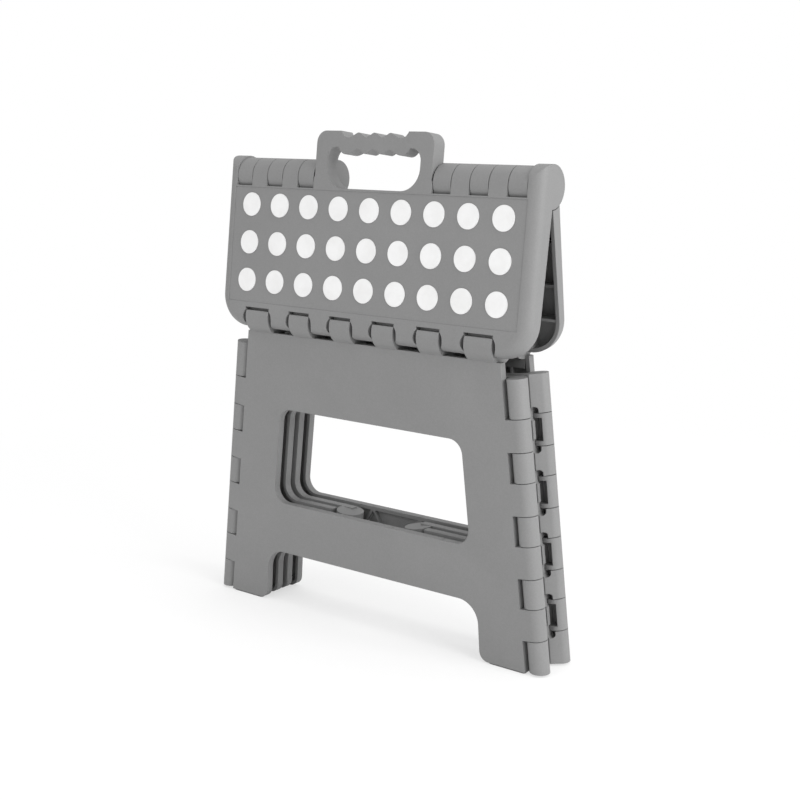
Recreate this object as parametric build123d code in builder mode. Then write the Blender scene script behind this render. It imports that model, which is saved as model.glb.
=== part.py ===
from build123d import *
from math import asin, cos, degrees, pi, radians, sin, sqrt, tan
import os

# Folding step stool, all mouldings in polypropylene, drawn folded flat and standing on its feet.
# X runs along the stool's width, -Y is the front, Z is up; the origin is on the floor, in the middle.

# ---- driving sizes (mm) ----
seat_width = 298.0            # over the side walls of the two tread panels
seat_link = 112.0             # from a leg hinge axis to the centre hinge axis
leg_hinge_height = 239.0      # height of the two leg-to-seat hinge axes
hinge_inset = 14.2            # from the middle plane to the leg and corner hinge axes, folded
seat_barrel_r = 14.2          # seat hinge knuckles, tangent to the tread
corner_barrel_r = 7.6         # knuckles of the corner columns
middle_barrel_r = 11.0        # knuckles in the middle of each end wall
base_axis_x = 156.0           # corner axis from the middle, at the floor
column_rake = 6.45            # lean of the corner columns, degrees

# ---- seat panels ----
tread_wall = 2.6
skirt_wall = 3.0
nose_overhang = 9.2           # tread edge beyond the leg hinge axis
nose_round = 9.5
plan_corner_r = 26.0
skirt_low_nose = 1.0          # skirt's lower edge above the hinge line, at the nose
skirt_low_centre = -1.9       # the same near the centre hinge
field_edge = 10.5             # the dotted field stops this far inside the side walls
field_step = 0.35
seat_rib = 2.0
seat_rib_low = 3.0
hinge_wall = 2.0              # wall under the tread behind each row of knuckles
hinge_wall_gap = 1.4          # from a swept knuckle to the middle of that wall
end_cap_r = 15.6
end_cap_width = 11.6
end_cap_round = 2.0
leg_knuckle_at = (20.8, 62.6, 106.8)
leg_knuckle_width = (20.0, 20.0, 24.0)
seat_cheek = 5.6
cheek_hub_r = 8.2
notch_past_axis = 6.75        # leg knuckle cut-out beyond the hinge axis, in the tread
centre_past_axis = 8.8        # the same for the centre hinge
field_low = 10.8              # dotted field's lower edge, from the leg hinge axis
notch_side_gap = 0.6
lobe_r = 8.0
lobe_bulge = 2.6
lobe_depth = 8.6
swing_gap = 0.7               # round a knuckle that turns in its pocket
seat_pin_r = 4.5
seat_pin_len = 3.4
pin_gap = 0.10                # radial
pin_end_gap = 0.5
snap_squeeze = 0.6            # each side of the slot that a pin is pushed in through
centre_knuckle_first = 64.75
centre_knuckle_pitch = 32.25
centre_knuckle_width = 15.5
centre_knuckle_count = 3

# ---- handle ----
handle_half = 55.5
handle_reach = 35.0           # beyond the centre hinge axis
handle_thick = 13.0
handle_corner_r = 9.0
handle_edge_r = 1.4
grip_half = 32.0
grip_pitch = 15.3
grip_top = 32.1
grip_low = 19.7
grip_wave = 1.7
opening_half = 44.5
opening_low = -8.2
opening_low_r = 17.0
opening_top = 22.9
opening_top_half = 34.0
opening_top_r = 9.0
handle_gap = 1.6

# ---- anti-slip dots ----
dot_r = 9.3
dot_pitch = 30.0
dot_columns = 9
dot_middle_row = 58.4         # from the leg hinge axis, along the tread
dot_seat_depth = 1.2
dot_proud = 0.5

# ---- leg panels ----
leg_thick = 6.0
leg_wall = 2.6
leg_rim = 3.0
leg_rib = 2.0
leg_top_gap = 2.4             # below the tread's edge, folded
leg_top_corner_r = 1.5
window_top = 166.4
window_low = 87.3
window_top_half = 89.0
window_corner_r = 12.0
arch_top = 45.3
arch_corner_r = 18.0
foot_inner_top = 105.0
foot_inner_low = 108.0
foot_corner_r = 8.0
foot_fill = 7.0
knuckle_tail = 10.0
knuckle_core_wall = 3.2
centre_core_stop = 7.5        # a centre knuckle's hollow stops this far before its axis
groove_up = 6.0               # groove across a leg knuckle, above the hinge axis
groove_high = 2.8
groove_floor = 8.3            # from the hinge axis, outwards

# ---- corner columns ----
column_top = 218.0            # along the axis
column_knuckle_first = 38.3
column_knuckle_pitch = 46.3
column_knuckle_len = 23.6
column_knuckle_count = 4
column_gap = 0.5
corner_pin_r = 3.2
corner_pin_len = 5.0
open_pivot_gap = 0.25         # radial, at the rear corners
core_half = 3.9
core_wall = 3.2

# ---- end walls ----
end_thick = 6.0
end_outer = 8.8               # outer face of the folded half wall, from the middle plane
end_wall = 2.6
end_clear = 0.4               # outside the corner barrels
end_edge_s = 1.0              # end wall's edge, inboard of the corner axis
end_foot_lift = 0.8
middle_pin_r = 3.2
middle_pin_len = 3.6
rail_knuckle_margin = 1.0

# ---- foot pads ----
pad_length = 32.0
pad_width = 4.0
pad_sunk = 2.2
pad_proud = 1.0
pad_middle_x = 131.0

# ---- worked out from the driving sizes ----
fold_lean = degrees(asin(hinge_inset / seat_link))
rake = radians(column_rake)
stack_half = hinge_inset + corner_barrel_r
half_width = seat_width / 2
middle_reach = sqrt(seat_link**2 - hinge_inset**2)
centre_knuckle_at = [centre_knuckle_first + i * centre_knuckle_pitch for i in range(centre_knuckle_count)]
leg_top = leg_hinge_height - nose_overhang - leg_top_gap
leg_low = pad_proud
end_inner = end_outer - end_thick
swing_r = seat_barrel_r + swing_gap


def axis_x(z):
    """Corner axis from the middle plane, at height z."""
    return base_axis_x - z * tan(rake)


def window_edge(z):
    """Window's side from the middle plane; it follows the column's lean."""
    return window_top_half + (window_top - z) * tan(rake)


def leg_frame(side):
    """Local x along the width, local y up, local z outwards. side is -1 at the front, +1 at the rear."""
    return Plane(origin=(0, 0, 0), x_dir=(-side, 0, 0), z_dir=(0, side, 0))


def leg_section(side, x):
    """Cross-section plane of a leg at local x: up, then outwards."""
    return Plane(origin=(-side * x, 0, 0), x_dir=(0, 0, 1), z_dir=(-side, 0, 0))


def seat_frame(side):
    """Local x along the width, local y from the leg hinge to the centre hinge, local z out of the tread."""
    lean = radians(fold_lean)
    start = (0, side * hinge_inset, leg_hinge_height)
    return Plane(origin=start, x_dir=(-side, 0, 0), z_dir=(0, side * cos(lean), sin(lean)))


def seat_section(side, x):
    """Cross-section plane of a seat panel at local x: along the panel, then out of the tread."""
    frame = seat_frame(side)
    return Plane(origin=frame.from_local_coords((x, 0, 0)), x_dir=frame.y_dir, z_dir=frame.x_dir)


def column_frame(side, hand, height, reach=0.0):
    """Plane square to a corner axis: x inboard, y outwards times hand, z up the axis."""
    to_side = -side * hand
    inboard = Vector(-to_side * cos(rake), 0, -sin(rake))
    up = Vector(-to_side * sin(rake), 0, cos(rake))
    start = Vector(to_side * base_axis_x, side * hinge_inset, 0) + inboard * reach
    return Plane(origin=start, x_dir=inboard, z_dir=up).offset(height)


def column_knuckle_spans():
    """Stretches of a corner axis that belong to the leg panel's knuckles."""
    half = column_knuckle_len / 2
    centres = [column_knuckle_first + i * column_knuckle_pitch for i in range(column_knuckle_count)]
    return [(centre - half, centre + half) for centre in centres]


def end_knuckle_spans():
    """Stretches between and beyond them, which belong to the end walls' knuckles."""
    spans = column_knuckle_spans()
    lows = [0.0] + [high for low, high in spans]
    highs = [low for low, high in spans] + [column_top]
    return list(zip(lows, highs))


def rail_spans():
    """Three knuckle stretches on each of the end wall's two rails, up the middle hinge axis."""
    lift = middle_reach * sin(rake)
    rails = [(arch_top, window_low), (window_top, column_top * cos(rake) - middle_reach * tan(rake) * cos(rake))]
    result = []
    for low, high in rails:
        start = (low + lift) / cos(rake) + rail_knuckle_margin
        third = ((high + lift) / cos(rake) - rail_knuckle_margin - start) / 3
        result.append([(start + i * third, start + (i + 1) * third) for i in range(3)])
    return result


# ---------------------------------------------------------------- seat panels

def seat_plan(inset):
    """Plan of a tread panel, up to the centre hinge axis, with round corners at the nose."""
    with BuildSketch() as plan:
        with BuildLine():
            Polyline(
                (-half_width + inset, seat_link),
                (-half_width + inset, -nose_overhang + inset),
                (half_width - inset, -nose_overhang + inset),
                (half_width - inset, seat_link),
                close=True,
            )
        make_face()
        fillet(plan.vertices().group_by(Axis.Y)[0], plan_corner_r - inset)
    return plan.sketch


def seat_block(side, inset, top, low, round_r):
    """Solid panel from its plan, with one round running along both sides, the corners and the nose."""
    frame = seat_frame(side)
    along = Axis(frame.origin, frame.y_dir)
    out = Axis(frame.origin, frame.z_dir)
    with BuildPart() as block:
        with BuildSketch(frame.offset(low)):
            add(seat_plan(inset))
        extrude(amount=top - low)
        rim = block.faces().sort_by(out)[-1].edges().sort_by(along)[:-1]
        fillet(rim, round_r)
    return block.part


def across(side, middle, width):
    """Section plane and depth of a slice of the panel, centred on local x = middle."""
    return seat_section(side, middle - width / 2), width


def both_sides(values):
    return [sign * value for sign in (-1, 1) for value in values]


def seat_shell(side):
    """Tread, side walls and nose as one shell, open underneath."""
    low = skirt_low_centre - 1
    outer = seat_block(side, 0, seat_barrel_r, low, nose_round)
    inner = seat_block(side, skirt_wall, seat_barrel_r - tread_wall, low - 1, nose_round - skirt_wall)
    with BuildPart() as shell:
        add(outer)
        add(inner, mode=Mode.SUBTRACT)
    return shell.part


def inside_shell(side):
    """Everything between the middle of the side walls and of the tread; ribs and webs stop there."""
    half_wall = skirt_wall / 2
    return seat_block(side, half_wall, seat_barrel_r - tread_wall / 2, -2 * cheek_hub_r, nose_round - half_wall)


def seat_ribs(side):
    """Grid of ribs under the tread, and the two walls that close it off from the hinges."""
    frame = seat_frame(side)
    wall_at = swing_r + hinge_wall_gap
    field = seat_link - 2 * wall_at
    inside = seat_width - skirt_wall
    height = seat_barrel_r - tread_wall / 2
    with BuildPart() as ribs:
        with BuildSketch(frame.offset(seat_rib_low)):
            with Locations((0, seat_link / 2)):
                with GridLocations(dot_pitch, 0, dot_columns - 1, 1):
                    Rectangle(seat_rib, field)
                with GridLocations(0, dot_pitch, 1, 2):
                    Rectangle(inside, seat_rib)
        extrude(amount=height - seat_rib_low)
        with BuildSketch(frame.offset(skirt_low_nose)):
            for at in (wall_at, seat_link - wall_at):
                with Locations((0, at)):
                    Rectangle(inside, hinge_wall)
        extrude(amount=height - skirt_low_nose)
        add(inside_shell(side), mode=Mode.INTERSECT)
    return ribs.part


def disc_slices(side, along, middles, width, radius):
    """Knuckle discs on the hinge axis at local y = along."""
    with BuildPart() as discs:
        for middle in middles:
            plane, depth = across(side, middle, width)
            with BuildSketch(plane):
                with Locations((along, 0)):
                    Circle(radius)
            extrude(amount=depth)
    return discs.part


def centre_pins(side, middles):
    """Stub pins at both ends of each rear knuckle of the centre hinge."""
    return disc_slices(side, seat_link, middles, centre_knuckle_width + 2 * seat_pin_len, seat_pin_r)


def knuckle_core(side, middles, width):
    """Hollow in each centre knuckle, open to the underside of its panel."""
    with BuildPart() as cores:
        for middle in middles:
            plane, depth = across(side, middle, width - 2 * knuckle_core_wall)
            with BuildSketch(plane):
                with Locations((seat_link - centre_core_stop, 0)):
                    Rectangle(2 * seat_barrel_r - centre_core_stop, seat_barrel_r, align=(Align.MAX, Align.MAX))
            extrude(amount=depth)
    return cores.part


def pin_sockets(side, along, middles, width, gap):
    """Bores for stub pins that stand out of knuckles of this width, with the slots they snap in through."""
    reach = width + 2 * (seat_pin_len + pin_end_gap)
    bore = seat_pin_r + gap
    slot = 2 * (seat_pin_r - snap_squeeze)
    with BuildPart() as sockets:
        for middle in middles:
            plane, depth = across(side, middle, reach)
            with BuildSketch(plane):
                with Locations((along, 0)):
                    Circle(bore)
                with Locations((along, -seat_barrel_r / 2)):
                    Rectangle(slot, seat_barrel_r)
            extrude(amount=depth)
    return sockets.part


def leg_notches(side):
    """Cut-outs in the nose for the leg panel's knuckles, with a round lobe over each stub pin."""
    frame = seat_frame(side)
    with BuildPart() as notches:
        for middle, width in zip(both_sides(leg_knuckle_at), leg_knuckle_width * 2):
            wide = width + 2 * notch_side_gap
            plane, depth = across(side, middle, wide)
            with BuildSketch(plane):
                Circle(swing_r)
                with Locations((notch_past_axis, 0)):
                    Rectangle(4 * nose_overhang, 4 * seat_barrel_r, align=(Align.MAX, Align.CENTER))
            extrude(amount=depth)
            with BuildSketch(frame.offset(seat_barrel_r - lobe_depth)):
                for sign in (-1, 1):
                    with Locations((middle + sign * (wide / 2 + lobe_bulge - lobe_r), -lobe_bulge / 2)):
                        Circle(lobe_r)
            extrude(amount=2 * lobe_depth)
    return notches.part


def leg_cheeks(side):
    """Webs beside each cut-out, shaped to the nose, that carry the leg hinge's sockets."""
    with BuildPart() as cheeks:
        for middle, width in zip(both_sides(leg_knuckle_at), leg_knuckle_width * 2):
            for sign in (-1, 1):
                at = middle + sign * (width / 2 + notch_side_gap + seat_cheek / 2)
                plane, depth = across(side, at, seat_cheek)
                with BuildSketch(plane):
                    Circle(cheek_hub_r)
                    with BuildLine():
                        Polyline(
                            (-cheek_hub_r, 0),
                            (-cheek_hub_r, seat_barrel_r - tread_wall / 2),
                            (swing_r + hinge_wall_gap, seat_barrel_r - tread_wall / 2),
                            (swing_r + hinge_wall_gap, skirt_low_nose + 2),
                            (cheek_hub_r * 0.7, -cheek_hub_r * 0.7),
                            (0, -cheek_hub_r),
                            close=True,
                        )
                    make_face()
                extrude(amount=depth)
        add(inside_shell(side), mode=Mode.INTERSECT)
    return cheeks.part


def skirt_trim(side):
    """Wedge under the skirt, which leaves its lower edge sloping towards the centre hinge."""
    plane, depth = across(side, 0, 2 * seat_width)
    with BuildPart() as wedge:
        with BuildSketch(plane):
            with BuildLine():
                Polyline(
                    (-2 * nose_overhang, skirt_low_nose),
                    (0, skirt_low_nose),
                    (seat_link, skirt_low_centre),
                    (seat_link, -seat_link),
                    (-2 * nose_overhang, -seat_link),
                    close=True,
                )
            make_face()
        extrude(amount=depth)
    return wedge.part


def side_envelope(side):
    """Outer shape across the width: sides as far as the walls, rounded over onto the tread."""
    with BuildPart() as envelope:
        frame = seat_frame(side)
        start = Plane(origin=frame.from_local_coords((0, seat_link - 2 * swing_r, 0)),
                      x_dir=frame.x_dir, z_dir=-frame.y_dir)
        with BuildSketch(start) as outline:
            with Locations((0, seat_barrel_r)):
                Rectangle(seat_width, 4 * seat_barrel_r, align=(Align.CENTER, Align.MAX))
            fillet(outline.vertices().group_by(Axis.Y)[-1], nose_round)
        extrude(amount=-6 * seat_barrel_r)
    return envelope.part


def end_caps(side):
    """Round bosses of the front panel that cover both ends of the centre hinge."""
    caps = disc_slices(side, seat_link, both_sides([half_width - end_cap_width / 2]), end_cap_width, end_cap_r)
    with BuildPart() as shaped:
        add(caps)
        add(side_envelope(side), mode=Mode.INTERSECT)
    return shaped.part


def centre_pockets(side, middles, width):
    """Room for the other panel's centre knuckles."""
    with BuildPart() as pockets:
        for middle in middles:
            plane, depth = across(side, middle, width + 2 * notch_side_gap)
            with BuildSketch(plane):
                with Locations((seat_link, 0)):
                    Circle(swing_r)
                with Locations((seat_link - centre_past_axis, seat_barrel_r)):
                    Rectangle(3 * seat_barrel_r, 1.2 * seat_barrel_r, align=(Align.MIN, Align.CENTER))
            extrude(amount=depth)
    return pockets.part


def field_recess(side):
    """Shallow step round the dotted field."""
    high = seat_link - centre_past_axis - 2 * notch_side_gap
    with BuildPart() as recess:
        with BuildSketch(seat_frame(side).offset(seat_barrel_r - field_step)):
            with Locations((0, (high + field_low) / 2)):
                Rectangle(seat_width - 2 * field_edge, high - field_low)
        extrude(amount=2 * field_step)
    return recess.part


def dot_places(side, row):
    """Centres of one row of dots. The rear panel's top row leaves out those that the handle notch removes."""
    along = dot_middle_row + row * dot_pitch
    spread = [(i - (dot_columns - 1) / 2) * dot_pitch for i in range(dot_columns)]
    notch_half = handle_half + handle_gap + skirt_wall
    notch_low = seat_link - handle_reach - handle_gap - skirt_wall
    if side > 0 and along + dot_r > notch_low:
        spread = [x for x in spread if abs(x) - dot_r > notch_half]
    return [(x, along) for x in spread]


def dot_row(side, row, low, high):
    """Discs of one row of dots, between two depths along the tread's normal."""
    with BuildPart() as dots:
        with BuildSketch(seat_frame(side).offset(low)):
            with Locations(*dot_places(side, row)):
                Circle(dot_r)
        extrude(amount=high - low)
    return dots.part


def grip_line(level, end_x, end_level):
    """Wavy edge of the grip, a bump between each two fingers, with its two ends."""
    wave = [(i * grip_pitch / 4, grip_wave * cos(i * pi / 2)) for i in range(-6, 7)]
    ends = [(-end_x, seat_link + end_level), (end_x, seat_link + end_level)]
    return [ends[0]] + [(x, seat_link + level + rise) for x, rise in wave] + [ends[1]]


def handle_loop(side):
    """Carrying handle in line with the front panel, before its opening is cut."""
    frame = seat_frame(side)
    foot = seat_link - swing_r - hinge_wall_gap
    top = seat_link + handle_reach
    with BuildPart() as loop:
        with BuildSketch(frame.offset(seat_barrel_r - handle_thick)) as outline:
            with BuildLine():
                Polyline((-grip_half, top), (-handle_half, top), (-handle_half, foot), (handle_half, foot),
                         (handle_half, top), (grip_half, top))
                Spline(*grip_line(grip_top, grip_half, handle_reach))
            make_face()
            corners = outline.vertices().filter_by(lambda v: abs(abs(v.X) - handle_half) < 0.1)
            fillet(corners.filter_by(lambda v: v.Y > seat_link), handle_corner_r)
        extrude(amount=handle_thick)
        arm_width = handle_half - opening_half
        for middle in both_sides([opening_half + arm_width / 2]):
            with BuildSketch(across(side, middle, arm_width)[0]):
                with Locations((seat_link, 0)):
                    Circle(seat_barrel_r)
            extrude(amount=arm_width)
    return loop.part


def handle_opening(side):
    """Finger opening, with wide lower corners and the grip's wave along its top."""
    low = seat_link + opening_low
    with BuildPart() as opening:
        with BuildSketch(seat_frame(side).offset(-2 * seat_barrel_r)) as outline:
            with BuildLine():
                Polyline((-opening_top_half, seat_link + opening_top), (-opening_half, seat_link + opening_top),
                         (-opening_half, low), (opening_half, low), (opening_half, seat_link + opening_top),
                         (opening_top_half, seat_link + opening_top))
                Spline(*grip_line(grip_low, opening_top_half, opening_top))
            make_face()
            fillet(outline.vertices().filter_by(lambda v: v.Y < seat_link), opening_low_r)
            upper = outline.vertices().filter_by(
                lambda v: abs(abs(v.X) - opening_half) < 0.1 and v.Y > seat_link + opening_top / 2
            )
            fillet(upper, opening_top_r)
        extrude(amount=4 * seat_barrel_r)
    return opening.part


def notch_sketch(inset, end):
    """Recess of the rear panel for the open stool's handle, grown by inset, up to local y = end."""
    low = seat_link - handle_reach - handle_gap - inset
    with BuildSketch() as outline:
        with Locations((0, low)):
            Rectangle(2 * (handle_half + handle_gap + inset), end - low, align=(Align.CENTER, Align.MIN))
        fillet(outline.vertices().group_by(Axis.Y)[0], handle_corner_r + inset)
    return outline.sketch


def notch_wall(side):
    """Block that becomes the wall round the handle recess."""
    with BuildPart() as wall:
        with BuildSketch(seat_frame(side).offset(-seat_barrel_r)):
            add(notch_sketch(skirt_wall, seat_link))
        extrude(amount=2 * seat_barrel_r - tread_wall / 2)
    return wall.part


def notch_cut(side):
    """The recess itself, through the whole panel and open towards the centre hinge."""
    with BuildPart() as cut:
        with BuildSketch(seat_frame(side).offset(-2 * seat_barrel_r)):
            add(notch_sketch(0, seat_link + 2 * seat_barrel_r))
        extrude(amount=4 * seat_barrel_r)
    return cut.part


def seat_panel(side):
    """One tread panel; the front one carries the handle and the end caps, the rear one the handle notch."""
    front = side < 0
    teeth = [at + centre_knuckle_pitch / 2 for at in centre_knuckle_at[:-1]]
    tooth_width = centre_knuckle_pitch - centre_knuckle_width - 2 * notch_side_gap
    with BuildPart() as panel:
        add(seat_shell(side))
        add(seat_ribs(side))
        add(leg_cheeks(side))
        if not front:
            add(notch_wall(side))
        add(skirt_trim(side), mode=Mode.SUBTRACT)
        add(leg_notches(side), mode=Mode.SUBTRACT)
        for middle, width in zip(both_sides(leg_knuckle_at), leg_knuckle_width * 2):
            add(pin_sockets(side, 0, [middle], width, pin_gap), mode=Mode.SUBTRACT)
        if front:
            add(centre_pockets(side, both_sides(centre_knuckle_at), centre_knuckle_width), mode=Mode.SUBTRACT)
            add(disc_slices(side, seat_link, both_sides(teeth), tooth_width, seat_barrel_r))
            add(end_caps(side))
            add(handle_loop(side))
            add(handle_opening(side), mode=Mode.SUBTRACT)
            add(pin_sockets(side, seat_link, both_sides(centre_knuckle_at), centre_knuckle_width, pin_gap),
                mode=Mode.SUBTRACT)
        else:
            caps = [half_width - end_cap_width / 2 + notch_side_gap]
            add(disc_slices(side, seat_link, both_sides(caps), end_cap_width + 4 * notch_side_gap,
                            end_cap_r + swing_gap), mode=Mode.SUBTRACT)
            add(centre_pockets(side, both_sides(teeth), tooth_width), mode=Mode.SUBTRACT)
            add(notch_cut(side), mode=Mode.SUBTRACT)
            add(disc_slices(side, seat_link, both_sides(centre_knuckle_at), centre_knuckle_width, seat_barrel_r))
            add(knuckle_core(side, both_sides(centre_knuckle_at), centre_knuckle_width), mode=Mode.SUBTRACT)
            add(centre_pins(side, both_sides(centre_knuckle_at)))
        add(field_recess(side), mode=Mode.SUBTRACT)
        for row in (-1, 0, 1):
            add(dot_row(side, row, seat_barrel_r - field_step - dot_seat_depth, seat_barrel_r), mode=Mode.SUBTRACT)
    return panel.part


# ---------------------------------------------------------------- leg panels

def leg_face(edge, top, low):
    """Front view of a leg panel whose sides stop this far inboard of the corner axes, with its window and arch."""
    with BuildSketch() as face:
        with BuildLine():
            Polyline(
                (-axis_x(top) + edge, top),
                (-axis_x(low) + edge, low),
                (-foot_inner_low, low),
                (-foot_inner_top, arch_top),
                (foot_inner_top, arch_top),
                (foot_inner_low, low),
                (axis_x(low) - edge, low),
                (axis_x(top) - edge, top),
                close=True,
            )
        make_face()
        fillet(face.vertices().filter_by(lambda v: abs(v.Y - arch_top) < 0.1), arch_corner_r)
        feet = face.vertices().filter_by(lambda v: abs(abs(v.X) - foot_inner_low) < 0.1 and abs(v.Y - low) < 0.1)
        fillet(feet, foot_corner_r)
        fillet(face.vertices().filter_by(lambda v: abs(v.Y - top) < 0.1), leg_top_corner_r)
        with BuildSketch(mode=Mode.SUBTRACT) as window:
            with BuildLine():
                Polyline(
                    (-window_edge(window_top), window_top),
                    (-window_edge(window_low), window_low),
                    (window_edge(window_low), window_low),
                    (window_edge(window_top), window_top),
                    close=True,
                )
            make_face()
            fillet(window.vertices(), window_corner_r)
    return face.sketch


def leg_plate(side):
    """Outer wall with a rim round every edge, open towards the inside of the stool."""
    frame = leg_frame(side)
    with BuildPart() as plate:
        with BuildSketch(frame.offset(stack_half - leg_thick)):
            add(leg_face(0, leg_top, leg_low))
        extrude(amount=leg_thick)
        with BuildSketch(frame.offset(stack_half - leg_thick)):
            add(leg_face(corner_barrel_r + end_clear + column_gap, leg_top, leg_low))
            offset(amount=-leg_rim, mode=Mode.REPLACE)
        extrude(amount=leg_thick - leg_wall, mode=Mode.SUBTRACT)
    return plate.part


def leg_ribs(side):
    """Ribs behind the outer wall: upright under each seat knuckle, zigzag in the rail below the window."""
    frame = leg_frame(side)
    with BuildPart() as ribs:
        with BuildSketch(frame.offset(stack_half - leg_thick)):
            for x in both_sides(leg_knuckle_at):
                with Locations((x, (window_top + leg_top) / 2)):
                    Rectangle(leg_rib, leg_top - window_top - leg_rim)
            for x in both_sides([pad_middle_x]):
                with Locations((x, foot_fill / 2 + leg_low)):
                    Rectangle(pad_length + leg_rib, foot_fill)
            low, high = arch_top + leg_rim / 2, window_low - leg_rim / 2
            count = 8
            reach = foot_inner_top - arch_corner_r / 2
            points = [(-reach + i * 2 * reach / count, high if i % 2 else low) for i in range(count + 1)]
            with BuildLine():
                zigzag = Polyline(*points)
            trace(zigzag, line_width=leg_rib)
        extrude(amount=leg_thick - leg_wall / 2)
    return ribs.part


def leg_seat_knuckles(side):
    """Round knuckles on top of the leg with their tails, hollow inside, and the stub pins of the seat hinge."""
    tail_low = leg_top - knuckle_tail
    with BuildPart() as knuckles:
        for x, width in zip(both_sides(leg_knuckle_at), leg_knuckle_width * 2):
            start = leg_section(side, x - width / 2)
            with BuildSketch(start):
                with Locations((leg_hinge_height, hinge_inset)):
                    Circle(seat_barrel_r)
                with Locations((tail_low, stack_half)):
                    Rectangle(leg_hinge_height - tail_low, leg_thick, align=(Align.MIN, Align.MAX))
            extrude(amount=width)
            with BuildSketch(start):
                with Locations((leg_hinge_height + groove_up, hinge_inset + groove_floor)):
                    Rectangle(groove_high, seat_barrel_r, align=(Align.MIN, Align.MIN))
            extrude(amount=width, mode=Mode.SUBTRACT)
            core = width - 2 * knuckle_core_wall
            with BuildSketch(leg_section(side, x - core / 2)):
                with Locations((leg_hinge_height, hinge_inset + seat_barrel_r / 2)):
                    Rectangle(seat_barrel_r, 2 * seat_barrel_r, align=(Align.CENTER, Align.MAX))
            extrude(amount=core, mode=Mode.SUBTRACT)
            reach = width + 2 * seat_pin_len
            for sign in (-1, 1):
                inner = x + sign * (width / 2 - knuckle_core_wall / 2)
                outer = x + sign * reach / 2
                with BuildSketch(leg_section(side, min(inner, outer))):
                    with Locations((leg_hinge_height, hinge_inset)):
                        Circle(seat_pin_r)
                extrude(amount=abs(outer - inner))
    return knuckles.part


def column_solids(side, hand, spans, radius, grow):
    """Cylinders on a corner axis, one for each span, longer at both ends by grow."""
    with BuildPart() as column:
        for low, high in spans:
            with BuildSketch(column_frame(side, hand, low - grow)):
                Circle(radius)
            extrude(amount=high - low + 2 * grow)
    return column.part


def leg_column(side, hand):
    """Leg knuckles of one corner, hollow on the inside, with a stub pin at each end."""
    with BuildPart() as column:
        add(column_solids(side, hand, column_knuckle_spans(), corner_barrel_r, 0))
        for low, high in column_knuckle_spans():
            with BuildSketch(column_frame(side, hand, low)):
                Rectangle(2 * corner_barrel_r, corner_barrel_r,
                          align=(Align.MIN, Align.MIN if hand > 0 else Align.MAX))
            extrude(amount=high - low)
        inward = -hand * corner_barrel_r
        for low, high in column_knuckle_spans():
            with BuildSketch(column_frame(side, hand, low + core_wall)):
                with Locations((0, inward)):
                    Rectangle(2 * core_half, 3 * corner_barrel_r)
            extrude(amount=high - low - 2 * core_wall, mode=Mode.SUBTRACT)
            for at in (low - corner_pin_len, high - core_wall / 2):
                with BuildSketch(column_frame(side, hand, at)):
                    Circle(corner_pin_r)
                extrude(amount=corner_pin_len + core_wall / 2)
    return column.part


def end_knuckle_room(side, hand):
    """Pockets in the leg's edge for the end wall's knuckles, open to the outside."""
    reach = corner_barrel_r + end_clear
    with BuildPart() as room:
        for low, high in end_knuckle_spans():
            below = 2 * column_gap if low == 0 else 0
            above = leg_top - low if high == column_top else 0
            with BuildSketch(column_frame(side, hand, low - 4 * below)):
                with Locations((reach, 0)):
                    Rectangle(4 * corner_barrel_r, 4 * corner_barrel_r, align=(Align.MAX, Align.CENTER))
            extrude(amount=high - low + 4 * below + above)
    return room.part


def pad_box(side, hand, low, high, grow=0.0):
    """Space of one foot pad, between two heights."""
    middle = (-side * hand * pad_middle_x, side * (stack_half - leg_thick / 2))
    with BuildPart() as box:
        with BuildSketch(Plane.XY.offset(low)):
            with Locations(middle):
                SlotOverall(pad_length + grow, pad_width + grow)
        extrude(amount=high - low)
    return box.part


def leg_panel(side):
    """One leg panel with its seat knuckles, both corner columns and the pockets for the foot pads."""
    with BuildPart() as panel:
        add(leg_plate(side))
        add(leg_ribs(side))
        add(leg_seat_knuckles(side))
        for hand in (-1, 1):
            add(end_knuckle_room(side, hand), mode=Mode.SUBTRACT)
            add(leg_column(side, hand))
            add(pad_box(side, hand, leg_low - 1, pad_proud + pad_sunk), mode=Mode.SUBTRACT)
    return panel.part


# ---------------------------------------------------------------- end walls

def end_face(hand, middle_reach_now):
    """Front view of a folded half end wall: a foot, a low rail and a high rail that reach the middle axis."""
    shift = end_edge_s / cos(rake)
    to_middle = middle_reach_now / cos(rake)
    top = column_top * cos(rake)
    low = leg_low + end_foot_lift

    def middle_x(z):
        return axis_x(z) - to_middle

    middle_top = top - middle_reach * tan(rake)
    with BuildSketch() as face:
        with BuildLine():
            Polyline(
                (hand * (axis_x(low) - shift), low),
                (hand * (axis_x(top) - shift), top),
                (hand * middle_x(middle_top), middle_top),
                (hand * middle_x(window_top), window_top),
                (hand * window_edge(window_top), window_top),
                (hand * window_edge(window_low), window_low),
                (hand * middle_x(window_low), window_low),
                (hand * middle_x(arch_top), arch_top),
                (hand * foot_inner_top, arch_top),
                (hand * foot_inner_low, low),
                close=True,
            )
        make_face()
        inner = face.vertices().filter_by(
            lambda v: min(abs(abs(v.X) - window_edge(window_top)), abs(abs(v.X) - window_edge(window_low))) < 0.1
        )
        fillet(inner, window_corner_r)
        fillet(face.vertices().filter_by(lambda v: abs(abs(v.X) - foot_inner_top) < 0.1), arch_corner_r)
        fillet(face.vertices().filter_by(lambda v: abs(abs(v.X) - foot_inner_low) < 0.1), foot_corner_r)
    return face.sketch


def end_plate(side, hand):
    """Half end wall with a rim round its edges; its outer wall lies towards the middle plane when folded."""
    frame = leg_frame(side)
    with BuildPart() as plate:
        with BuildSketch(frame.offset(end_inner)):
            add(end_face(hand, middle_reach))
        extrude(amount=end_thick)
        with BuildSketch(frame.offset(end_inner + end_wall)):
            add(end_face(hand, middle_reach - middle_barrel_r))
            offset(amount=-leg_rim, mode=Mode.REPLACE)
        extrude(amount=end_thick, mode=Mode.SUBTRACT)
    return plate.part


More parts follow.
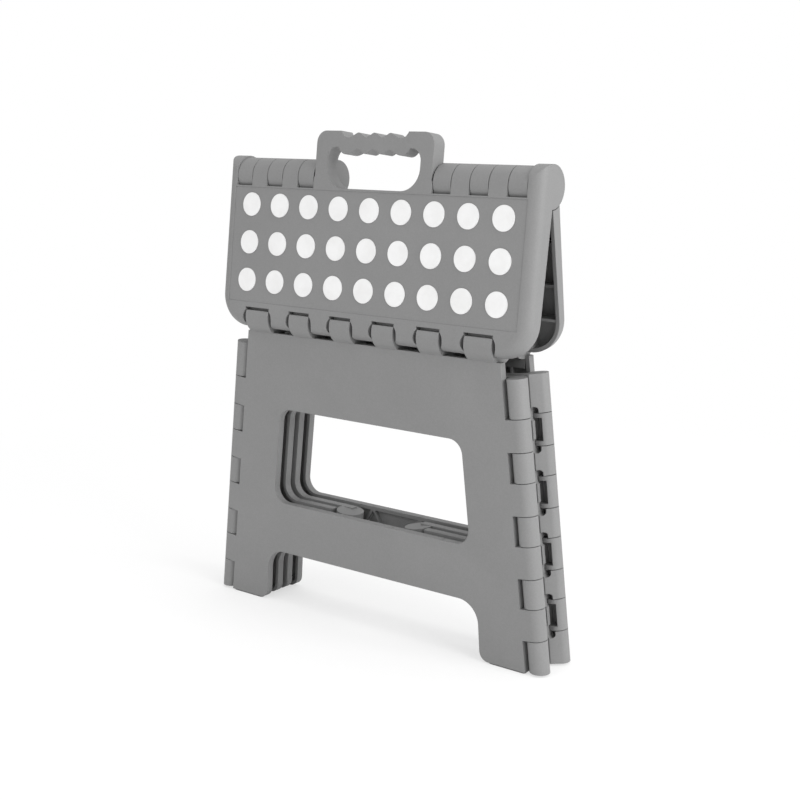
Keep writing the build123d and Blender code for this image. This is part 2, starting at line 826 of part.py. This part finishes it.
def end_corner_knuckles(side, hand):
    """Knuckles of the corner column, each with an arm that reaches inboard to the half wall."""
    arm = hinge_inset - end_inner
    low_cut = leg_low + end_foot_lift
    with BuildPart() as knuckles:
        for low, high in end_knuckle_spans():
            start = low - 2 * column_gap if low == 0 else low + column_gap
            stop = high if high == column_top else high - column_gap
            with BuildSketch(column_frame(side, hand, start)):
                Circle(corner_barrel_r)
                with BuildLine():
                    Polyline(
                        (-corner_barrel_r * 0.6, -hand * corner_barrel_r * 0.8),
                        (end_edge_s, -hand * (arm - 0.01)),
                        (3 * corner_barrel_r, -hand * (arm - 0.01)),
                        (3 * corner_barrel_r, -hand * (arm - end_thick)),
                        (corner_barrel_r, -hand * (arm - end_thick - 2)),
                        (corner_barrel_r, -hand * 1.5),
                        (0, 0),
                        close=True,
                    )
                make_face()
            extrude(amount=stop - start)
        with BuildSketch(Plane.XY.offset(low_cut)):
            Rectangle(4 * base_axis_x, 8 * stack_half)
        extrude(amount=-4 * corner_barrel_r, mode=Mode.SUBTRACT)
    return knuckles.part


def corner_sockets(side, hand, gap):
    """Bores for the leg's stub pins in the end wall's knuckles, each with its snap slot on the inside."""
    reach = corner_pin_len + pin_end_gap
    with BuildPart() as sockets:
        for low, high in column_knuckle_spans():
            for at in (low - reach, high):
                with BuildSketch(column_frame(side, hand, at)):
                    Circle(corner_pin_r + gap)
                extrude(amount=reach)
            for at in (low, high):
                square = column_frame(side, hand, at)
                with BuildSketch(Plane(origin=square.origin, x_dir=square.x_dir, z_dir=square.y_dir)):
                    SlotOverall(2 * reach - pin_end_gap, 2 * (corner_pin_r - snap_squeeze), rotation=90)
                extrude(amount=-hand * 1.6 * corner_barrel_r)
    return sockets.part


def middle_knuckle_spans(side):
    """The front half wall has the middle knuckle of each rail, the rear one the knuckles on both sides of it."""
    mine, theirs = [], []
    for spans in rail_spans():
        middle, outer = [spans[1]], [spans[0], spans[2]]
        mine += middle if side < 0 else outer
        theirs += outer if side < 0 else middle
    return mine, theirs


def middle_column(side, hand, low):
    """Plane square to the middle hinge axis at this height along it."""
    return column_frame(side, hand, low, middle_reach)


def middle_discs(side, hand, spans, radius, grow):
    """Cylinders on the middle hinge axis, one for each span."""
    with BuildPart() as discs:
        for low, high in spans:
            with BuildSketch(middle_column(side, hand, low - grow)):
                with Locations((0, -hand * hinge_inset)):
                    Circle(radius)
            extrude(amount=high - low + 2 * grow)
    return discs.part


def middle_room(side, hand, spans):
    """Everything of this half wall that would stand in the other half's middle knuckles."""
    radius = middle_barrel_r + swing_gap
    rail_ends = [value for rail in rail_spans() for value in (rail[0][0], rail[-1][1])]
    with BuildPart() as room:
        for low, high in spans:
            below = 4 * rail_knuckle_margin if low in rail_ends else column_gap / 2
            above = 4 * rail_knuckle_margin if high in rail_ends else column_gap / 2
            with BuildSketch(middle_column(side, hand, low - below)):
                with Locations((-radius, 0)):
                    Rectangle(4 * radius, 8 * stack_half, align=(Align.MIN, Align.CENTER))
            extrude(amount=high - low + below + above)
    return room.part


def end_panel(side, hand):
    """One half of an end wall, with its corner knuckles and its share of the middle hinge."""
    mine, theirs = middle_knuckle_spans(side)
    own_gap = -column_gap / 2
    corner_gap = pin_gap if side < 0 else open_pivot_gap
    with BuildPart() as panel:
        add(end_plate(side, hand))
        add(middle_discs(side, hand, mine, middle_barrel_r, own_gap))
        add(middle_room(side, hand, theirs), mode=Mode.SUBTRACT)
        add(column_solids(side, hand, column_knuckle_spans(), corner_barrel_r + end_clear, 0), mode=Mode.SUBTRACT)
        add(end_corner_knuckles(side, hand))
        add(corner_sockets(side, hand, corner_gap), mode=Mode.SUBTRACT)
        if side < 0:
            add(middle_discs(side, hand, mine, middle_pin_r, middle_pin_len))
        else:
            holes = middle_knuckle_spans(-1)[0]
            add(middle_discs(side, hand, holes, middle_pin_r + pin_gap, middle_pin_len + pin_end_gap),
                mode=Mode.SUBTRACT)
    return panel.part


# ---------------------------------------------------------------- write the pieces

def save(shape, name):
    shape.label = name
    export_step(shape, f"parts/{name}.step")


os.makedirs("parts", exist_ok=True)
sides = {"front": -1, "rear": 1}
rows = {"lower": -1, "middle": 0, "upper": 1}
for side_name, side in sides.items():
    save(seat_panel(side), f"{side_name}_seat_panel")
    save(leg_panel(side), f"{side_name}_leg_panel")
    for hand in (-1, 1):
        hand_name = "right" if -side * hand > 0 else "left"
        save(end_panel(side, hand), f"{hand_name}_{side_name}_end_panel")
        save(pad_box(side, hand, 0, pad_proud + pad_sunk), f"{hand_name}_{side_name}_foot_pad")
    for row_name, row in rows.items():
        base = seat_barrel_r - field_step - dot_seat_depth
        save(dot_row(side, row, base, seat_barrel_r - field_step + dot_proud),
             f"{side_name}_tread_dots_{row_name}")
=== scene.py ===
"""Folding step stool in matt grey plastic with white tread dots, on a pale floor."""
import math

import bpy
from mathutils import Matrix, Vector

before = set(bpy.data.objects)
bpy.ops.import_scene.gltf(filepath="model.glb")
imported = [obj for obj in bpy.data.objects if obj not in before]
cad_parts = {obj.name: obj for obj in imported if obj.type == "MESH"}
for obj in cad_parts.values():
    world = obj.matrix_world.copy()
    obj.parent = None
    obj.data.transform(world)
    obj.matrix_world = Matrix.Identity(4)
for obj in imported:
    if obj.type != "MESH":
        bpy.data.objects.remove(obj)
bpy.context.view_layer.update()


# ---------------------------------------------------------------- sizes (metres unless it says otherwise)

CAMERA_PLACE = (0.6431, -0.811, 0.4014)
CAMERA_TILT = 78.0             # degrees; 90 looks level
CAMERA_PAN = 37.705            # degrees from facing +Y, towards -X
CAMERA_LENS = 61.27            # mm, on a sensor CAMERA_SENSOR wide
CAMERA_SENSOR = 36.0

MOULDING_GREY = 0.212          # linear
DOT_GREY = 0.80
PAD_GREY = 0.045
FLOW_SCALE = 14.0              # noise scales are per metre
SPECK_SCALE = 900.0
PORE_SCALE = 1500.0
RUBBED_AND_HIGHLIGHT_SHARE = 0.35            # how far an edge goes towards its lighter grey, partly real rubbing and partly a painted highlight
RUBBED_AND_HIGHLIGHT_GREY = 1.28
RUBBED_SMOOTHER = 0.25
SPARK_GRAIN_DEPTH = 0.00012
PEBBLE_DEPTH = 0.0001
MARKS_SCALE = 60.0
RUBBER_RIM = 0.0004

FLOOR_HALF = 8.0
FADE_START = 0.2               # from here outwards the floor turns plain white, a painted glow seen only by the camera that also washes out its shadow
FADE_END = 0.8
FADE_NEAR = 0.6                # share of the painted white glow at FADE_START
SKY_LIGHT = 0.72               # what the pale sky gives to the object
SKY_SEEN = 1.0                 # how bright it looks behind it
LAMP_TARGET = (0.0, 0.0, 0.2)


# ---------------------------------------------------------------- camera

camera_data = bpy.data.cameras.new("camera")
camera = bpy.data.objects.new("camera", camera_data)
bpy.context.scene.collection.objects.link(camera)
camera.location = CAMERA_PLACE
camera.rotation_euler = (math.radians(CAMERA_TILT), 0.0, math.radians(CAMERA_PAN))
camera_data.sensor_width = CAMERA_SENSOR
camera_data.lens = CAMERA_LENS
bpy.context.scene.camera = camera


# ---------------------------------------------------------------- materials

class Nodes:
    """Small helper that adds and joins the nodes of one material."""

    def __init__(self, name):
        self.material = bpy.data.materials.new(name)
        self.material.use_nodes = True
        self.tree = self.material.node_tree
        self.shader = self.tree.nodes["Principled BSDF"]

    def add(self, kind, values=None, **settings):
        node = self.tree.nodes.new(kind)
        for key, value in settings.items():
            setattr(node, key, value)
        for key, value in (values or {}).items():
            node.inputs[key].default_value = value
        return node

    def link(self, source, target):
        self.tree.links.new(source, target)

    def ramp(self, source, low, high, dark, light):
        ramp = self.add("ShaderNodeValToRGB")
        ramp.color_ramp.elements[0].position = low
        ramp.color_ramp.elements[1].position = high
        ramp.color_ramp.elements[0].color = dark
        ramp.color_ramp.elements[1].color = light
        self.link(source, ramp.inputs["Fac"])
        return ramp.outputs["Color"]

    def spread(self, noise, low, high):
        """Stretch the useful middle of a noise over low to high."""
        limits = {"From Min": 0.3, "From Max": 0.7, "To Min": low, "To Max": high}
        node = self.add("ShaderNodeMapRange", limits)
        self.link(noise, node.inputs["Value"])
        return node.outputs["Result"]

    def math(self, operation, a, b):
        node = self.add("ShaderNodeMath", operation=operation)
        for index, value in enumerate((a, b)):
            if isinstance(value, (int, float)):
                node.inputs[index].default_value = value
            else:
                self.link(value, node.inputs[index])
        return node.outputs["Value"]

    def mix(self, factor, a, b, blend="MIX"):
        node = self.add("ShaderNodeMix", data_type="RGBA", blend_type=blend)
        if isinstance(factor, (int, float)):
            node.inputs[0].default_value = factor
        else:
            self.link(factor, node.inputs[0])
        for index, value in ((6, a), (7, b)):
            if isinstance(value, tuple):
                node.inputs[index].default_value = value
            else:
                self.link(value, node.inputs[index])
        return node.outputs[2]


def grey(value, warmth=0.0):
    return (value * (1 + warmth), value, value * (1 - warmth), 1.0)


def plastic(name, base, seed, rough=0.5, grain=0.04, edge=0.0006):
    """Moulded polypropylene: fine spark-eroded grain, faint flow marks, soft edges painted lighter, partly
    as rubbing and partly as a painted highlight.
    """
    n = Nodes(name)
    coords = n.add("ShaderNodeTexCoord").outputs["Object"]
    place = n.add("ShaderNodeMapping", {"Location": (seed * 0.37, seed * 0.11, seed * 0.23)})
    n.link(coords, place.inputs["Vector"])
    point = place.outputs["Vector"]

    flow = n.add("ShaderNodeTexNoise", {
        "Scale": FLOW_SCALE, "Detail": 3.0, "Roughness": 0.55, "Distortion": 0.6,
    })
    n.link(point, flow.inputs["Vector"])
    speck = n.add("ShaderNodeTexNoise", {"Scale": SPECK_SCALE, "Detail": 2.0, "Roughness": 0.6})
    n.link(point, speck.inputs["Vector"])
    pores = n.add("ShaderNodeTexVoronoi", {"Scale": PORE_SCALE})
    n.link(point, pores.inputs["Vector"])

    body = n.ramp(flow.outputs["Fac"], 0.3, 0.72, grey(base * 0.955), grey(base * 1.045))
    fine = n.ramp(speck.outputs["Fac"], 0.35, 0.65, grey(0.965), grey(1.03))
    colour = n.mix(1.0, body, fine, "MULTIPLY")

    bevel = n.add("ShaderNodeBevel", {"Radius": edge}, samples=6)
    wide = n.add("ShaderNodeBevel", {"Radius": edge * 1.6}, samples=4)
    geometry = n.add("ShaderNodeNewGeometry")
    turn = n.add("ShaderNodeVectorMath", operation="DOT_PRODUCT")
    n.link(wide.outputs["Normal"], turn.inputs[0])
    n.link(geometry.outputs["Normal"], turn.inputs[1])
    # lighter grey on every edge: partly rubbed wear, partly a painted highlight standing in for edge
    # fillets catching the light
    rub_and_highlight = n.ramp(turn.outputs["Value"], 0.72, 0.985, (1, 1, 1, 1), (0, 0, 0, 1))
    patchy = n.ramp(flow.outputs["Fac"], 0.38, 0.62, (0.25, 0.25, 0.25, 1), (1, 1, 1, 1))
    worn_and_highlit = n.mix(1.0, rub_and_highlight, patchy, "MULTIPLY")
    wear_and_highlight_amount = n.math("MULTIPLY", worn_and_highlit, RUBBED_AND_HIGHLIGHT_SHARE)
    colour = n.mix(wear_and_highlight_amount, colour, grey(base * RUBBED_AND_HIGHLIGHT_GREY))

    n.link(colour, n.shader.inputs["Base Color"])
    spread = n.spread(flow.outputs["Fac"], rough - 0.05, rough + 0.07)
    duller = n.math("SUBTRACT", spread, n.math("MULTIPLY", wear_and_highlight_amount, RUBBED_SMOOTHER))
    n.link(duller, n.shader.inputs["Roughness"])

    height = n.math("ADD", n.math("MULTIPLY", speck.outputs["Fac"], 0.6),
                    n.math("MULTIPLY", pores.outputs["Distance"], 0.4))
    bump = n.add("ShaderNodeBump", {"Strength": grain * 4, "Distance": SPARK_GRAIN_DEPTH})
    n.link(height, bump.inputs["Height"])
    n.link(bevel.outputs["Normal"], bump.inputs["Normal"])
    n.link(bump.outputs["Normal"], n.shader.inputs["Normal"])
    n.shader.inputs["IOR"].default_value = 1.49
    n.shader.inputs["Specular IOR Level"].default_value = 0.42
    return n.material


def soft_rubber(name, value, seed, rough, grain_scale):
    """Thermoplastic rubber: very fine pebble grain, faint handling marks and a soft rim."""
    n = Nodes(name)
    coords = n.add("ShaderNodeTexCoord").outputs["Object"]
    place = n.add("ShaderNodeMapping", {"Location": (seed, seed * 0.5, -seed)})
    n.link(coords, place.inputs["Vector"])
    pebble = n.add("ShaderNodeTexVoronoi", {"Scale": grain_scale})
    n.link(place.outputs["Vector"], pebble.inputs["Vector"])
    marks = n.add("ShaderNodeTexNoise", {"Scale": MARKS_SCALE, "Detail": 4.0, "Roughness": 0.6})
    n.link(place.outputs["Vector"], marks.inputs["Vector"])
    colour = n.ramp(marks.outputs["Fac"], 0.32, 0.6, grey(value * 0.93, 0.004), grey(value, 0.0))
    n.link(colour, n.shader.inputs["Base Color"])
    n.link(n.spread(marks.outputs["Fac"], rough - 0.06, rough + 0.08), n.shader.inputs["Roughness"])
    bevel = n.add("ShaderNodeBevel", {"Radius": RUBBER_RIM}, samples=6)
    bump = n.add("ShaderNodeBump", {"Strength": 0.12, "Distance": PEBBLE_DEPTH})
    n.link(pebble.outputs["Distance"], bump.inputs["Height"])
    n.link(bevel.outputs["Normal"], bump.inputs["Normal"])
    n.link(bump.outputs["Normal"], n.shader.inputs["Normal"])
    n.shader.inputs["Specular IOR Level"].default_value = 0.35
    return n.material


tints = {
    "front_seat_panel": 1.0, "rear_seat_panel": 0.98, "front_leg_panel": 1.0, "rear_leg_panel": 0.99,
    "right_front_end_panel": 1.03, "right_rear_end_panel": 1.0, "left_front_end_panel": 0.99,
    "left_rear_end_panel": 1.01,
}
dots = soft_rubber("tread_dot_rubber", DOT_GREY, 0.3, 0.55, 1100.0)
pads = soft_rubber("foot_pad_rubber", PAD_GREY, 0.7, 0.7, 900.0)
for index, (name, node) in enumerate(sorted(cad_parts.items())):
    if name in tints:
        chosen = plastic(name + "_plastic", MOULDING_GREY * tints[name], index + 1)
    elif "dots" in name:
        chosen = dots
    else:
        chosen = pads
    for place in node.material_slots:
        place.material = chosen


# ---------------------------------------------------------------- floor and light

def plane(name, half, z):
    mesh = bpy.data.meshes.new(name)
    corners = [(-half, -half, z), (half, -half, z), (half, half, z), (-half, half, z)]
    mesh.from_pydata(corners, [], [(0, 1, 2, 3)])
    thing = bpy.data.objects.new(name, mesh)
    bpy.context.scene.collection.objects.link(thing)
    return thing


floor = plane("floor", FLOOR_HALF, 0.0)
n = Nodes("floor_paint")
n.shader.inputs["Roughness"].default_value = 0.85
n.shader.inputs["Specular IOR Level"].default_value = 0.1
cloud = n.add("ShaderNodeTexNoise", {"Scale": 2.0, "Detail": 3.0})
n.link(n.ramp(cloud.outputs["Fac"], 0.3, 0.7, grey(0.93), grey(0.95)), n.shader.inputs["Base Color"])
away = n.add("ShaderNodeVectorMath", operation="LENGTH")
n.link(n.add("ShaderNodeTexCoord").outputs["Object"], away.inputs[0])
fade = n.add("ShaderNodeMapRange", {
    "From Min": FADE_START, "From Max": FADE_END, "To Min": FADE_NEAR, "To Max": 1.0,
})
n.link(away.outputs["Value"], fade.inputs["Value"])
# painted glow: camera rays see the floor partly as white emission, from FADE_NEAR near the object to full
# further out, so its shadow is washed out
seen = n.add("ShaderNodeLightPath").outputs["Is Camera Ray"]
painted_white_glow = n.add("ShaderNodeEmission", {"Color": (1.0, 1.0, 1.0, 1.0), "Strength": 1.0})
blend = n.add("ShaderNodeMixShader")
n.link(n.math("MULTIPLY", fade.outputs["Result"], seen), blend.inputs["Fac"])
n.link(n.shader.outputs["BSDF"], blend.inputs[1])
n.link(painted_white_glow.outputs["Emission"], blend.inputs[2])
n.link(blend.outputs["Shader"], n.tree.nodes["Material Output"].inputs["Surface"])
floor.data.materials.append(n.material)

world = bpy.data.worlds.new("studio")
bpy.context.scene.world = world
world.use_nodes = True
background = world.node_tree.nodes["Background"]
background.inputs["Color"].default_value = (1.0, 1.0, 1.0, 1.0)
seen = world.node_tree.nodes.new("ShaderNodeLightPath")
strength = world.node_tree.nodes.new("ShaderNodeMapRange")
strength.inputs["To Min"].default_value = SKY_LIGHT
strength.inputs["To Max"].default_value = SKY_SEEN
world.node_tree.links.new(seen.outputs["Is Camera Ray"], strength.inputs["Value"])
world.node_tree.links.new(strength.outputs["Result"], background.inputs["Strength"])


def lamp(name, size, power, location):
    """Square lamp of this size and power (W), turned to the middle of the object."""
    data = bpy.data.lights.new(name, "AREA")
    data.shape = "SQUARE"
    data.size = size
    data.energy = power
    thing = bpy.data.objects.new(name, data)
    bpy.context.scene.collection.objects.link(thing)
    thing.location = location
    thing.rotation_euler = (Vector(LAMP_TARGET) - Vector(location)).to_track_quat("-Z", "Y").to_euler()


lamp("key", 1.2, 26.0, (1.7, -0.1, 1.0))
lamp("fill", 1.6, 9.0, (-0.6, -1.9, 1.2))
lamp("top", 1.4, 8.0, (0.0, 0.3, 2.0))

scene = bpy.context.scene
scene.view_settings.view_transform = "Standard"
scene.view_settings.look = "None"
